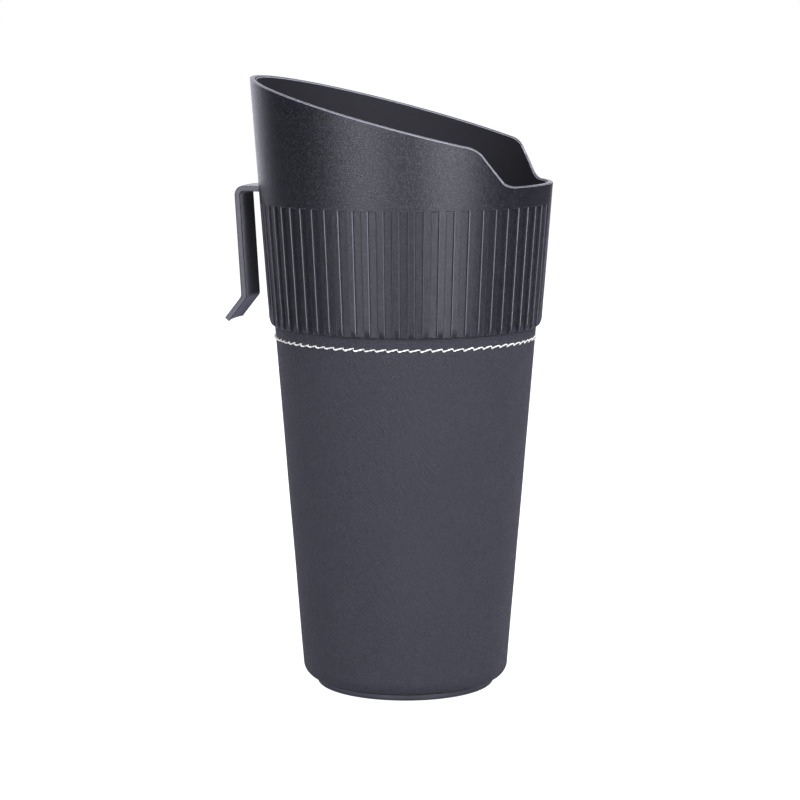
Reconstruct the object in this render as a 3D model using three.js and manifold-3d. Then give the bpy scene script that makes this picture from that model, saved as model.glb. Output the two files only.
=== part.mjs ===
// A hanging cup holder: a tapered moulded barrel wrapped in stitched leather, closed below by a base cap with a
// rubber foot, and topped by a ribbed hood with a slanted mouth, a low front lip and a rear strap hook.
// Millimetres, +Z up. The origin is the centre of the foot's underside, on the barrel's axis. -Y is the front, where
// the lip is low, and +Y the back, where the hook hangs.
import * as THREE from "three";
import { mergeVertices } from "three/addons/utils/BufferGeometryUtils.js";
import Module from "manifold-3d";

const wasm = await Module();
wasm.setup();

// ---- Driving dimensions ----
const overallHeight = 220; // foot to the high point of the rim, at the back
const seatGap = 0.3; // between pieces that touch, are glued or are screwed together
const runGap = 0.5; // round the neck, where the hood turns and slides

// Leather-wrapped body
const bodyDraft = THREE.MathUtils.degToRad(4.52);
const bodyFootRadius = 36.5; // the leather's cone, carried down to the origin's plane
const leatherThickness = 1.4;
const leatherHem = 5.2; // height of the leather's skived edge inside the hood's skirt
const leatherTurnIn = 1.2; // width of the edge turned in under the barrel
const bodyCornerRadius = 5;
const hemThreadDrop = 4.3; // from the hood's lower edge down to the stitching
const threadRadius = 0.35;

// Barrel
const barrelWall = 2;
const floorThickness = 2.4;
const floorRecess = 5.2; // depth of the hollow under the floor, where the screw bosses hang
const floorCornerRadius = 4;
const footRingWidth = 3.2; // of the barrel's bottom rim, inside the leather's turned edge
const neckWall = 2.15;
const neckLead = 0.6; // chamfer on the neck's top edge
const sealWidth = 2.4;
const sealThickness = 0.8;
const sealDrop = 7; // from the neck's top down to the seal's groove

// Base cap and foot
const capVisibleHeight = 2.3;
const capPlate = 2.8;
const capEdgeRadius = 1;
const capRim = 4.4; // width of the ring round the foot pad's recess
const footThickness = 1.4;
const footStandOut = 0.5; // how far the pad stands below the cap
const footChamfer = 0.3;
const bossRadius = 3.2;
const bossInset = 7.4; // from the foot pad's edge in to the screws' circle
const baseScrews = 3;

// Hood
const hoodHeight = 88.4; // from its lower edge to the high point of the rim
const skirtThickness = 1.5; // at the lower edge, before the edge is rounded
const hoodDraft = THREE.MathUtils.degToRad(4.27);
const hoodWall = 2.4;
const skirtRoundHeight = 4;
const skirtLip = 0.3; // width of the flat left at the skirt's lower edge
const ribCount = 60;
const ribDrop = 7.4; // from the front lip down to the tops of the grooves
const grooveWidth = 2.75;
const grooveDepth = 0.8;
const mouthSlope = THREE.MathUtils.degToRad(15);
const lipDrop = 13.4; // from the crest, where the slanted rim ends, down to the low front lip
const lipDepth = 13.1; // from the rim's circle in to the ramp's foot
const rampRun = 8.3; // from the ramp's foot back to the crest
const crestRadius = 7;
const rampFootRadius = 4.5;
const shoulderDrop = 12.3; // from the lip down to the shoulder over the neck
const shoulderThickness = 1.6;
const funnelRise = 5.4; // from the shoulder up to the hood's inner wall

// Hook
const strapWidth = 18;
const strapThickness = 2.1;
const strapGap = 7.5; // from the hood to the strap's inner face, at its top, for the panel it hangs on
const strapLean = THREE.MathUtils.degToRad(3.5);
const strapDrop = 2; // from the front lip down to the strap's top
const tongueStep = 0.3; // the tongue is this much thinner than the strap, which leaves a shoulder at the hood's wall
const strapBendRadius = 3.4; // outside of the top bend
const kneeHeight = 8.6; // above the hood's lower edge, where the strap's end flares outwards
const flareLength = 11;
const flareAngle = THREE.MathUtils.degToRad(38.5);
const seatMargin = 3; // of the hood's screw seat, each side of the strap
const screwEdge = 3.5; // from the strap's side to a screw's centre
const screwInset = 2.4; // from the tongue's inner end to the screws' centres

// Self-tapping pan-head screws
const screwRadius = 1.1;
const screwHeadRadius = 2;
const screwHeadHeight = 1.2;
const hookScrewLength = 6;
const baseScrewLength = 5.6;
const crossWidth = 0.5;
const crossLength = 2.1;
const crossDepth = 0.7;

// Facets
const aroundBody = 60;
const aroundHood = 120;
const aroundScrew = 16;
const arcSteps = 5;

// ---- Sizes that follow ----
const hoodFootZ = overallHeight - hoodHeight;
const bodyRadius = (z) => bodyFootRadius + z * Math.tan(bodyDraft);
const barrelRadius = (z) => bodyRadius(z) - leatherThickness - seatGap;
const skirtBore = bodyRadius(hoodFootZ) + seatGap;
const hoodFootRadius = skirtBore + skirtThickness;
const hoodRadius = (z) => hoodFootRadius + (z - hoodFootZ) * Math.tan(hoodDraft);

const capFootZ = footStandOut;
const capRecessZ = footThickness + seatGap;
const capShelfZ = capFootZ + capVisibleHeight;
const capTopZ = capRecessZ + capPlate;
const leatherFootZ = capShelfZ + seatGap;
const barrelFootZ = leatherFootZ + leatherThickness + seatGap;
const floorUnderZ = barrelFootZ + floorRecess;
const floorTopZ = floorUnderZ + floorThickness;
const cornerZ = leatherFootZ + bodyCornerRadius;
const cornerCentreRadius = bodyRadius(cornerZ) - bodyCornerRadius;
const capRadius = cornerCentreRadius;
const turnInRadius = cornerCentreRadius - leatherTurnIn;
const capSpigotRadius = turnInRadius - seatGap;
const footRadius = capRadius - capRim - seatGap;
const bossCircleRadius = footRadius - bossInset;

const rimRadius = hoodRadius(overallHeight);
const rimZ = (y) => overallHeight - (rimRadius - y) * Math.tan(mouthSlope);
const rampFootY = lipDepth - rimRadius;
const crestY = rampFootY + rampRun;
const lipZ = rimZ(crestY) - lipDrop;
const ribTopZ = lipZ - ribDrop;

const leatherTopZ = hoodFootZ + leatherHem;
const neckFootZ = leatherTopZ + seatGap;
const neckRadius = skirtBore - runGap;
const neckBore = neckRadius - neckWall;
const shoulderZ = lipZ - shoulderDrop;
const neckTopZ = shoulderZ - seatGap;
const sealGrooveTopZ = neckTopZ - sealDrop;
const sealGrooveDepth = sealThickness + seatGap - (runGap - seatGap);
const sealGrooveHeight = sealWidth + 2 * seatGap;
const funnelFootZ = shoulderZ + shoulderThickness;
const funnelTopZ = funnelFootZ + funnelRise;

const strapTopZ = lipZ - strapDrop;
const legZ = strapTopZ - strapThickness;
const tongueZ = legZ + tongueStep;
const screwReach = hoodRadius(strapTopZ) - hoodWall - seatGap - screwHeadRadius;
const hookScrewX = strapWidth / 2 - screwEdge;
const hookScrewY = Math.sqrt(screwReach ** 2 - hookScrewX ** 2);
const tongueEnd = hookScrewY - screwInset;
const hookSeatBore = tongueEnd - seatGap;

// ---- Making solids ----
function solidOf(geometry) {
  const bare = (geometry.index ? geometry.toNonIndexed() : geometry.clone());
  bare.deleteAttribute("normal");
  bare.deleteAttribute("uv");
  const merged = mergeVertices(bare, 1e-4);
  return new wasm.Manifold(
    new wasm.Mesh({
      numProp: 3,
      vertProperties: merged.attributes.position.array,
      triVerts: new Uint32Array(merged.index.array),
    }),
  );
}

function geometryOf(solid) {
  const mesh = solid.getMesh();
  const geometry = new THREE.BufferGeometry();
  geometry.setAttribute("position", new THREE.BufferAttribute(mesh.vertProperties, 3));
  geometry.setIndex(new THREE.BufferAttribute(mesh.triVerts, 1));
  const flat = geometry.toNonIndexed();
  flat.computeVertexNormals();
  return flat;
}

// Turns a profile of [radius, z] points about the Z axis. The points run up the outside and down the inside.
function turned(profile, segments) {
  const points = profile.map(([radius, z]) => new THREE.Vector2(radius, z));
  if (profile[0][0] > 0) points.push(points[0].clone());
  return new THREE.LatheGeometry(points, segments).rotateX(Math.PI / 2);
}

// Extrudes an outline of [y, z] points along X, centred on the plane X = 0.
function sideways(outline, width) {
  const shape = new THREE.Shape(outline.map(([y, z]) => new THREE.Vector2(y, z)));
  const geometry = new THREE.ExtrudeGeometry(shape, { depth: width, bevelEnabled: false });
  geometry.translate(0, 0, -width / 2);
  const shapeToPart = new THREE.Matrix4().set(0, 0, 1, 0, 1, 0, 0, 0, 0, 1, 0, 0, 0, 0, 0, 1);
  return geometry.applyMatrix4(shapeToPart);
}

function upright(radius, fromZ, toZ, x, y, segments = aroundScrew) {
  const geometry = new THREE.CylinderGeometry(radius, radius, toZ - fromZ, segments);
  return geometry.rotateX(Math.PI / 2).translate(x, y, (fromZ + toZ) / 2);
}

function block(x, y, z) {
  const geometry = new THREE.BoxGeometry(x[1] - x[0], y[1] - y[0], z[1] - z[0]);
  return geometry.translate((x[0] + x[1]) / 2, (y[0] + y[1]) / 2, (z[0] + z[1]) / 2);
}

// Points of an arc or a quarter ellipse, from one angle to another, in degrees.
function arc(centre, radii, from, to, steps = arcSteps) {
  return Array.from({ length: steps + 1 }, (_, i) => {
    const angle = THREE.MathUtils.degToRad(from + ((to - from) * i) / steps);
    return [centre[0] + radii[0] * Math.cos(angle), centre[1] + radii[1] * Math.sin(angle)];
  });
}

// Rounds the corner of an outline between two straight runs.
function rounded(before, corner, after, radius, steps = arcSteps) {
  const c = new THREE.Vector2(...corner);
  const a = new THREE.Vector2(...before).sub(c).normalize();
  const b = new THREE.Vector2(...after).sub(c).normalize();
  const half = Math.acos(THREE.MathUtils.clamp(a.dot(b), -1, 1)) / 2;
  const centre = a.clone().add(b).normalize().multiplyScalar(radius / Math.sin(half)).add(c);
  const start = a.multiplyScalar(radius / Math.tan(half)).add(c).sub(centre);
  const end = b.multiplyScalar(radius / Math.tan(half)).add(c).sub(centre);
  const turn = Math.atan2(start.cross(end), start.dot(end));
  return Array.from({ length: steps + 1 }, (_, i) => {
    const p = start.clone().rotateAround(new THREE.Vector2(), (turn * i) / steps).add(centre);
    return [p.x, p.y];
  });
}

const finishes = {
  hoodPlastic: { color: 0x2c2c31, roughness: 0.42, metalness: 0 },
  barrelPlastic: { color: 0x232327, roughness: 0.5, metalness: 0 },
  hookPlastic: { color: 0x3a3a40, roughness: 0.35, metalness: 0 },
  leather: { color: 0x39393f, roughness: 0.55, metalness: 0 },
  thread: { color: 0xe9e9e4, roughness: 0.8, metalness: 0 },
  silicone: { color: 0x1d1d20, roughness: 0.7, metalness: 0 },
  rubber: { color: 0x1b1b1e, roughness: 0.85, metalness: 0 },
  steel: { color: 0x9a9a9e, roughness: 0.35, metalness: 1 },
};

const holder = new THREE.Group();

function place(name, geometry, finish) {
  const mesh = new THREE.Mesh(geometry, new THREE.MeshStandardMaterial(finishes[finish]));
  mesh.name = name;
  holder.add(mesh);
}

// ---- Barrel: the moulded cup, with screw bosses under its floor and a straight neck for the hood ----
const bossAngles = Array.from({ length: baseScrews }, (_, i) => (i * 2 * Math.PI) / baseScrews);
const bossPlaces = bossAngles.map((a) => [bossCircleRadius * Math.sin(a), bossCircleRadius * Math.cos(a)]);

function barrel() {
  const bendRadius = bodyCornerRadius - leatherThickness - seatGap;
  const innerCornerZ = floorTopZ + floorCornerRadius;
  const innerRadius = (z) => barrelRadius(z) - barrelWall;
  const coneTopZ = (neckBore - innerRadius(0)) / Math.tan(bodyDraft);
  const ringInner = capSpigotRadius - footRingWidth;
  const cup = solidOf(
    turned(
      [
        [0, floorUnderZ],
        [ringInner, floorUnderZ],
        [ringInner, barrelFootZ],
        ...arc([cornerCentreRadius, cornerZ], [bendRadius, bendRadius], -90, 0, 4),
        [barrelRadius(neckFootZ), neckFootZ],
        [neckRadius, neckFootZ],
        [neckRadius, sealGrooveTopZ - sealGrooveHeight],
        [neckRadius - sealGrooveDepth, sealGrooveTopZ - sealGrooveHeight],
        [neckRadius - sealGrooveDepth, sealGrooveTopZ],
        [neckRadius, sealGrooveTopZ],
        [neckRadius, neckTopZ - neckLead],
        [neckRadius - neckLead, neckTopZ],
        [neckBore, neckTopZ],
        [neckBore, Math.min(coneTopZ, neckTopZ - neckLead)],
        ...arc(
          [innerRadius(innerCornerZ) - floorCornerRadius, innerCornerZ],
          [floorCornerRadius, floorCornerRadius],
          0,
          -90,
          4,
        ),
        [0, floorTopZ],
      ],
      aroundBody,
    ),
  );
  const overlap = 0.2; // the bosses run into the floor
  const bosses = bossPlaces.map(([x, y]) => solidOf(upright(bossRadius, barrelFootZ, floorUnderZ + overlap, x, y)));
  const pilots = bossPlaces.map(([x, y]) =>
    solidOf(upright(screwRadius + seatGap, barrelFootZ - 1, floorUnderZ - seatGap, x, y)),
  );
  return geometryOf(cup.add(wasm.Manifold.union(bosses)).subtract(wasm.Manifold.union(pilots)));
}

place("barrel", barrel(), "barrelPlastic");

// ---- Leather sleeve: wraps the barrel, turned in under its bottom corner and skived where the hood covers it ----
function leatherSleeve() {
  const bendRadius = bodyCornerRadius - leatherThickness;
  return turned(
    [
      [turnInRadius, leatherFootZ],
      ...arc([cornerCentreRadius, cornerZ], [bodyCornerRadius, bodyCornerRadius], -90, 0),
      [bodyRadius(hoodFootZ), hoodFootZ],
      [bodyRadius(hoodFootZ), leatherTopZ],
      [bodyRadius(leatherTopZ) - leatherThickness, leatherTopZ],
      ...arc([cornerCentreRadius, cornerZ], [bendRadius, bendRadius], 0, -90),
      [turnInRadius, leatherFootZ + leatherThickness],
    ],
    aroundBody,
  );
}

place("leather_sleeve", leatherSleeve(), "leather");

// ---- Hem thread: one run of thread sewn round the sleeve, below the hood ----
const threadZ = hoodFootZ - hemThreadDrop;
const threadRing = new THREE.TorusGeometry(bodyRadius(threadZ) + seatGap + threadRadius, threadRadius, 5, aroundBody);
place("hem_thread", threadRing.translate(0, 0, threadZ), "thread");

// ---- Seal ring: the silicone band in the neck's groove that grips the hood ----
function sealRing() {
  const inner = neckRadius - sealGrooveDepth + seatGap;
  const topZ = sealGrooveTopZ - seatGap;
  const footZ = topZ - sealWidth;
  const soft = sealThickness / 4;
  return turned(
    [
      [inner, footZ],
      [inner + sealThickness - soft, footZ],
      [inner + sealThickness, footZ + soft],
      [inner + sealThickness, topZ - soft],
      [inner + sealThickness - soft, topZ],
      [inner, topZ],
    ],
    aroundBody,
  );
}

place("seal_ring", sealRing(), "silicone");

// ---- Hood: ribbed skirt, slanted mouth with a low front lip, and a shoulder that rests over the neck ----
function hoodShell() {
  const topZ = overallHeight + hoodWall;
  const skirtEdge = skirtBore + skirtLip;
  const roundTopRadius = hoodRadius(hoodFootZ + skirtRoundHeight);
  return solidOf(
    turned(
      [
        [skirtBore, hoodFootZ],
        ...arc(
          [skirtEdge, hoodFootZ + skirtRoundHeight],
          [roundTopRadius - skirtEdge, skirtRoundHeight],
          -90,
          0,
          4,
        ),
        [hoodRadius(topZ), topZ],
        [hoodRadius(topZ) - hoodWall, topZ],
        [hoodRadius(funnelTopZ) - hoodWall, funnelTopZ],
        [neckBore, funnelFootZ],
        [neckBore, shoulderZ],
        [skirtBore, shoulderZ],
      ],
      aroundHood,
    ),
  );
}

// Everything above the rim: a slanted line from the back, a ramp, and the flat low lip at the front.
function mouthCutter() {
  const reach = rimRadius + 10;
  const back = [reach, rimZ(reach)];
  const crest = [crestY, rimZ(crestY)];
  const foot = [rampFootY, lipZ];
  const front = [-reach, lipZ];
  const aboveZ = overallHeight + 20;
  return solidOf(
    sideways(
      [
        [reach, aboveZ],
        [-reach, aboveZ],
        front,
        ...rounded(front, foot, crest, rampFootRadius),
        ...rounded(foot, crest, back, crestRadius),
        back,
      ],
      2 * reach,
    ),
  );
}

// One groove between two ribs, leaning with the hood's draft and open at the skirt's lower edge.
function grooveCutter(angle) {
  const outside = 5;
  const below = 1;
  const length = (ribTopZ - hoodFootZ) / Math.cos(hoodDraft) + below;
  const geometry = new THREE.BoxGeometry(grooveWidth, outside, length);
  geometry.translate(0, outside / 2, length / 2 - below);
  geometry.rotateX(-hoodDraft);
  geometry.translate(0, hoodFootRadius - grooveDepth, hoodFootZ);
  return solidOf(geometry.rotateZ(angle));
}

// A solid seat across the funnel at the back, with pilot holes for the hook's screws.
function hookSeat() {
  const half = strapWidth / 2 + seatMargin;
  const seatTopZ = tongueZ - seatGap;
  const reach = hoodRadius(seatTopZ);
  const bar = solidOf(block([-half, half], [0, reach], [shoulderZ, seatTopZ]));
  const ring = solidOf(
    turned(
      [
        [hookSeatBore, shoulderZ - 1],
        [reach - hoodWall / 2, shoulderZ - 1],
        [reach - hoodWall / 2, seatTopZ + 1],
        [hookSeatBore, seatTopZ + 1],
      ],
      aroundHood,
    ),
  );
  return bar.intersect(ring);
}

function hookScrewHoles(radius, fromZ, toZ) {
  return wasm.Manifold.union(
    [-1, 1].map((side) => solidOf(upright(radius, fromZ, toZ, side * hookScrewX, hookScrewY))),
  );
}

function hood() {
  const grooves = Array.from({ length: ribCount }, (_, i) => grooveCutter((i * 2 * Math.PI) / ribCount));
  const slotHalf = strapWidth / 2 + seatGap;
  const slot = solidOf(
    block([-slotHalf, slotHalf], [hookScrewY, rimRadius], [tongueZ - seatGap, strapTopZ + seatGap]),
  );
  const pilotFootZ = tongueZ + screwHeadHeight - hookScrewLength - seatGap;
  const pilots = hookScrewHoles(screwRadius + seatGap, pilotFootZ, tongueZ + 1);
  return geometryOf(
    hoodShell()
      .subtract(wasm.Manifold.union(grooves))
      .subtract(mouthCutter())
      .add(hookSeat())
      .subtract(slot)
      .subtract(pilots),
  );
}

place("hood", hood(), "hoodPlastic");

// ---- Hook: a strap curved round the hood's axis. Its tongue passes through the hood's wall on to the screw seat,
// and its end flares outwards to guide a panel in ----
function hook() {
  const innerRadius = (z) => hoodRadius(legZ) + strapGap - (legZ - z) * Math.tan(strapLean);
  const outerRadius = (z) => innerRadius(z) + strapThickness / Math.cos(strapLean);
  const kneeZ = hoodFootZ + kneeHeight;
  const flare = [Math.sin(flareAngle), -Math.cos(flareAngle)];
  const across = [Math.cos(flareAngle), Math.sin(flareAngle)];
  const innerKnee = [innerRadius(kneeZ), kneeZ];
  const innerTip = [innerKnee[0] + flareLength * flare[0], kneeZ + flareLength * flare[1]];
  const outerTip = [innerTip[0] + strapThickness * across[0], innerTip[1] + strapThickness * across[1]];
  // Back up the flare's outer face to where it meets the strap's outer face.
  const closing = flare[0] - flare[1] * Math.tan(strapLean);
  const back = (outerTip[0] - outerRadius(outerTip[1])) / closing;
  const outerKnee = [outerTip[0] - back * flare[0], outerTip[1] - back * flare[1]];
  const shoulder = hoodRadius(legZ) + seatGap;
  const legUnder = [shoulder, legZ];
  const innerBend = [innerRadius(legZ), legZ];
  const outerBend = [outerRadius(strapTopZ), strapTopZ];
  const tongueUnder = [tongueEnd, tongueZ];
  const tongueTop = [tongueEnd, strapTopZ];
  const section = [
    tongueUnder,
    [shoulder, tongueZ],
    legUnder,
    ...rounded(legUnder, innerBend, innerKnee, strapBendRadius - strapThickness),
    ...rounded(innerBend, innerKnee, innerTip, strapThickness, 3),
    innerTip,
    outerTip,
    ...rounded(outerTip, outerKnee, outerBend, strapThickness, 3),
    ...rounded(outerKnee, outerBend, tongueTop, strapBendRadius),
    tongueTop,
  ];
  const ring = solidOf(turned(section, aroundHood));
  const width = [-strapWidth / 2, strapWidth / 2];
  const strap = ring.intersect(solidOf(block(width, [0, 2 * rimRadius], [0, overallHeight])));
  return geometryOf(strap.subtract(hookScrewHoles(screwRadius + seatGap, tongueZ - 1, strapTopZ + 1)));
}

place("hook", hook(), "hookPlastic");

// ---- Screws: a shank along -Z below a domed pan head with a cross recess; the head's seat is at z = 0 ----
function screw(length) {
  const tip = screwRadius * 0.8;
  const dome = screwHeadHeight * 0.4;
  const body = solidOf(
    turned(
      [
        [0, -length],
        [screwRadius - tip * 0.5, -length],
        [screwRadius, -length + tip],
        [screwRadius, 0],
        [screwHeadRadius, 0],
        [screwHeadRadius, screwHeadHeight - dome],
        [screwHeadRadius * 0.7, screwHeadHeight],
        [0, screwHeadHeight],
      ],
      aroundScrew,
    ),
  );
  const z = [screwHeadHeight - crossDepth, screwHeadHeight + 1];
  const long = [-crossLength / 2, crossLength / 2];
  const short = [-crossWidth / 2, crossWidth / 2];
  const cross = solidOf(block(long, short, z)).add(solidOf(block(short, long, z)));
  return geometryOf(body.subtract(cross));
}

const hookShank = hookScrewLength - screwHeadHeight;
["left", "right"].forEach((side, i) => {
  const x = (2 * i - 1) * hookScrewX;
  const geometry = screw(hookShank).translate(x, hookScrewY, strapTopZ + seatGap);
  place(`hook_screw_${side}`, geometry, "steel");
});

// ---- Base cap: clamps the leather's turned edge, screwed up into the barrel's bosses ----
const headSeatZ = capRecessZ + screwHeadHeight + 2 * seatGap;

function baseCap() {
  const recessRadius = footRadius + seatGap;
  const cap = solidOf(
    turned(
      [
        [0, capRecessZ],
        [recessRadius, capRecessZ],
        [recessRadius, capFootZ],
        ...arc([capRadius - capEdgeRadius, capFootZ + capEdgeRadius], [capEdgeRadius, capEdgeRadius], -90, 0, 3),
        [capRadius, capShelfZ],
        [capSpigotRadius, capShelfZ],
        [capSpigotRadius, capTopZ],
        [0, capTopZ],
      ],
      aroundBody,
    ),
  );
  const headBores = bossPlaces.map(([x, y]) =>
    solidOf(upright(screwHeadRadius + seatGap, capRecessZ - 1, headSeatZ, x, y)),
  );
  const shankBores = bossPlaces.map(([x, y]) =>
    solidOf(upright(screwRadius + seatGap, capRecessZ, capTopZ + 1, x, y)),
  );
  return geometryOf(cap.subtract(wasm.Manifold.union([...headBores, ...shankBores])));
}

place("base_cap", baseCap(), "barrelPlastic");

bossPlaces.forEach(([x, y], i) => {
  const geometry = screw(baseScrewLength - screwHeadHeight).rotateX(Math.PI).translate(x, y, headSeatZ - seatGap);
  place(`base_screw_${i + 1}`, geometry, "steel");
});

// ---- Foot pad: the non-slip disc pressed into the cap's recess, over its screws ----
const footPad = turned(
  [
    [0, 0],
    [footRadius - footChamfer, 0],
    [footRadius, footChamfer],
    [footRadius, footThickness],
    [0, footThickness],
  ],
  aroundBody,
);
place("foot_pad", footPad, "rubber");

export default holder;
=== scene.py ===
import bpy
import math
import random
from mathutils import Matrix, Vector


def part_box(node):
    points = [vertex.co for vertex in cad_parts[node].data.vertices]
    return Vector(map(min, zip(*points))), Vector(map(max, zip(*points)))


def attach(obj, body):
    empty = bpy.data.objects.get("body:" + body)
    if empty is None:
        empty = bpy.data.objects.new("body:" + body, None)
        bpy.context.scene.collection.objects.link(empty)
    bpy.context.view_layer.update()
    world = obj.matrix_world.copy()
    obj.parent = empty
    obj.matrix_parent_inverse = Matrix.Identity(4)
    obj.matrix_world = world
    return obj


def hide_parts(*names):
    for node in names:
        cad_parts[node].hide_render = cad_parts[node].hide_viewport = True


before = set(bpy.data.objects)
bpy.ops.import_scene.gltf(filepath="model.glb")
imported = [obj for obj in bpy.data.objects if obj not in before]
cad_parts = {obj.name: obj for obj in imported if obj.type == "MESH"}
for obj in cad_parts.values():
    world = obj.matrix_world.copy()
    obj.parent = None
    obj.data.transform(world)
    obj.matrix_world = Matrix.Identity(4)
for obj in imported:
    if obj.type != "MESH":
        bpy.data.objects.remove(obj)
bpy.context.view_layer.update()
mm = 0.001

# ---- Camera, floor and studio light ----
# The camera stands off the cup's left side, a little towards the front, and looks slightly down. The cup
# stands on a pale seamless floor, between two tall soft boxes near the camera, with a high key light, a
# glowing backdrop behind the cup and a broad soft box overhead.
camera_place = (-0.9157, -0.2080, 0.2392)
camera_pitch = math.radians(8.21)
camera_heading = math.radians(-77.08)
bpy.ops.object.camera_add(location=camera_place, rotation=(math.pi / 2 - camera_pitch, 0, camera_heading))
camera = bpy.context.object
camera.data.lens = 118.35
camera.data.sensor_width = 36
camera.data.clip_start = 0.05
camera.data.clip_end = 400
bpy.context.scene.camera = camera
bpy.context.scene.view_settings.view_transform = "Standard"

bpy.ops.mesh.primitive_circle_add(vertices=96, radius=150, fill_type="NGON", location=(0, 0, 0))
floor = bpy.context.object
floor.name = "floor"


def put(tree, kind, settings=None, **values):
    """Adds a node to a tree, with its settings, and gives its inputs a value or a link each."""
    node = tree.nodes.new("ShaderNode" + kind)
    for label, value in (settings or {}).items():
        setattr(node, label, value)
    for label, value in values.items():
        give(tree, node.inputs[label], value)
    return node


def give(tree, socket, value):
    """Gives one input a plain value, or links it to another node's output."""
    if isinstance(value, bpy.types.NodeSocket):
        tree.links.new(value, socket)
    else:
        socket.default_value = value


def work_out(tree, operation, first, second, third=None, limit=False):
    """Adds an arithmetic node on two or three numbers or links, and hands back its result."""
    node = put(tree, "Math", {"operation": operation, "use_clamp": limit})
    for socket, value in zip(node.inputs, (first, second, third)):
        if value is not None:
            give(tree, socket, value)
    return node.outputs["Value"]


def between(tree, mask, low, high, start=0, end=1):
    """A number that goes from low to high as the mask goes from start to end."""
    ends = {"From Min": start, "From Max": end, "To Min": low, "To Max": high}
    return put(tree, "MapRange", Value=mask, **ends).outputs["Result"]


# The floor looks white from the camera, but throws less light back up at the cup.
pale_floor = bpy.data.materials.new("pale_floor")
pale_floor.use_nodes = True
tree = pale_floor.node_tree
surface = tree.nodes["Principled BSDF"]
surface.inputs["Base Color"].default_value = (0.27, 0.275, 0.33, 1)
surface.inputs["Roughness"].default_value = 0.9
surface.inputs["Specular IOR Level"].default_value = 0.1
surface.inputs["Emission Color"].default_value = (1, 1, 1, 1)
seen = put(tree, "LightPath").outputs["Is Camera Ray"]
give(tree, surface.inputs["Emission Strength"], between(tree, seen, 0.05, 1))
floor.data.materials.append(pale_floor)

toward_camera = math.atan2(camera_place[1], camera_place[0])


def add_soft_box(name, turn, distance, height, size, power, aim_height=0.12):
    """Adds a rectangular light, turned by degrees from the camera's side to the right of the view."""
    angle = toward_camera + math.radians(turn)
    place = (distance * math.cos(angle), distance * math.sin(angle), height)
    tilt = math.atan2(height - aim_height, distance)
    facing = (math.pi / 2 - tilt, 0, angle + math.pi / 2)
    bpy.ops.object.light_add(type="AREA", location=place, rotation=facing)
    light = bpy.context.object
    light.name = name
    light.data.shape = "RECTANGLE"
    light.data.size, light.data.size_y = size
    light.data.energy = power
    light.data.color = cool_light


cool_light = (0.88, 0.88, 1)
add_soft_box("soft_box_right", 33, 0.9, 0.32, (0.34, 1.0), 13)
add_soft_box("soft_box_left", -31, 0.9, 0.32, (0.45, 1.0), 11)
add_soft_box("key_light", 25, 0.75, 0.95, (0.8, 0.6), 9)
add_soft_box("backdrop_glow", 191, 1.3, 0.3, (1.4, 1.1), 8.5)

bpy.ops.object.light_add(type="AREA", location=(0.1, 0, 1.6), rotation=(0, 0, 0))
overhead = bpy.context.object
overhead.name = "soft_box_overhead"
overhead.data.shape = "RECTANGLE"
overhead.data.size, overhead.data.size_y = 1.6, 1.6
overhead.data.energy = 22
overhead.data.color = cool_light

room = bpy.data.worlds.new("studio")
bpy.context.scene.world = room
room.use_nodes = True
tree = room.node_tree
dim = tree.nodes["Background"]
dim.inputs["Color"].default_value = (0.9, 0.92, 1, 1)
dim.inputs["Strength"].default_value = 0.06
bright = put(tree, "Background", Color=(1, 1, 1, 1))
mixed = put(tree, "MixShader", Fac=put(tree, "LightPath").outputs["Is Camera Ray"])
when_hidden, when_seen = [socket for socket in mixed.inputs if socket.type == "SHADER"]
give(tree, when_hidden, dim.outputs["Background"])
give(tree, when_seen, bright.outputs["Background"])
give(tree, tree.nodes["World Output"].inputs["Surface"], mixed.outputs["Shader"])

# ---- Hood ----
# One moulding in satin charcoal plastic with a spark-textured outside: a ribbed skirt that slips over the
# cup's neck, a slanted mouth whose rim drops to a low lip at the front, and a seat inside the back wall
# for the hook's screws.
seat_gap = 0.3 * mm
hood_low, hood_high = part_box("hood")
hood_foot = hood_low.z
hood_top = hood_high.z
rim_radius = hood_high.y
hood_draft = math.tan(math.radians(4.27))
hood_wall = 2.4 * mm
skirt_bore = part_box("leather_sleeve")[1].x + seat_gap
skirt_lip = 0.3 * mm
skirt_round = 4 * mm
neck_wall = 2.15 * mm
neck_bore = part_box("barrel")[1].x - neck_wall
shoulder_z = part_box("barrel")[1].z + seat_gap
funnel_foot = shoulder_z + 1.6 * mm
funnel_top = funnel_foot + 5.4 * mm
mouth_slope = math.tan(math.radians(15))
ramp_foot = -rim_radius + 13.1 * mm
crest = ramp_foot + 8.3 * mm
crest_z = hood_top - (rim_radius - crest) * mouth_slope
lip_z = crest_z - 13.4 * mm
rim_round = 0.6 * mm

rib_count = 60
columns = 10
groove_top = lip_z - 7.4 * mm
groove_depth = 0.8 * mm
groove_floor_turn = 1.5
groove_edge_turn = 1.7
land_round = 0.26 * mm


def hood_radius(z):
    return rim_radius - (hood_top - z) * hood_draft


def arc(centre, radii, start, end, steps):
    """Points along a quarter of an ellipse, or part of one, in the plane of radius and height."""
    angles = [math.radians(start + (end - start) * i / steps) for i in range(steps + 1)]
    return [(centre[0] + radii[0] * math.cos(a), centre[1] + radii[1] * math.sin(a)) for a in angles]


def deselect_everything():
    if bpy.context.object and bpy.context.object.mode == "EDIT":
        bpy.ops.object.mode_set(mode="OBJECT")
    bpy.ops.object.select_all(action="DESELECT")


def settle():
    """Applies the piece's place, turn and size to its mesh."""
    bpy.ops.object.transform_apply(location=True, rotation=True, scale=True)


def pull_out(move):
    """Extrudes what is selected."""
    bpy.ops.mesh.extrude_region_move(TRANSFORM_OT_translate={"value": move})


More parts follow.
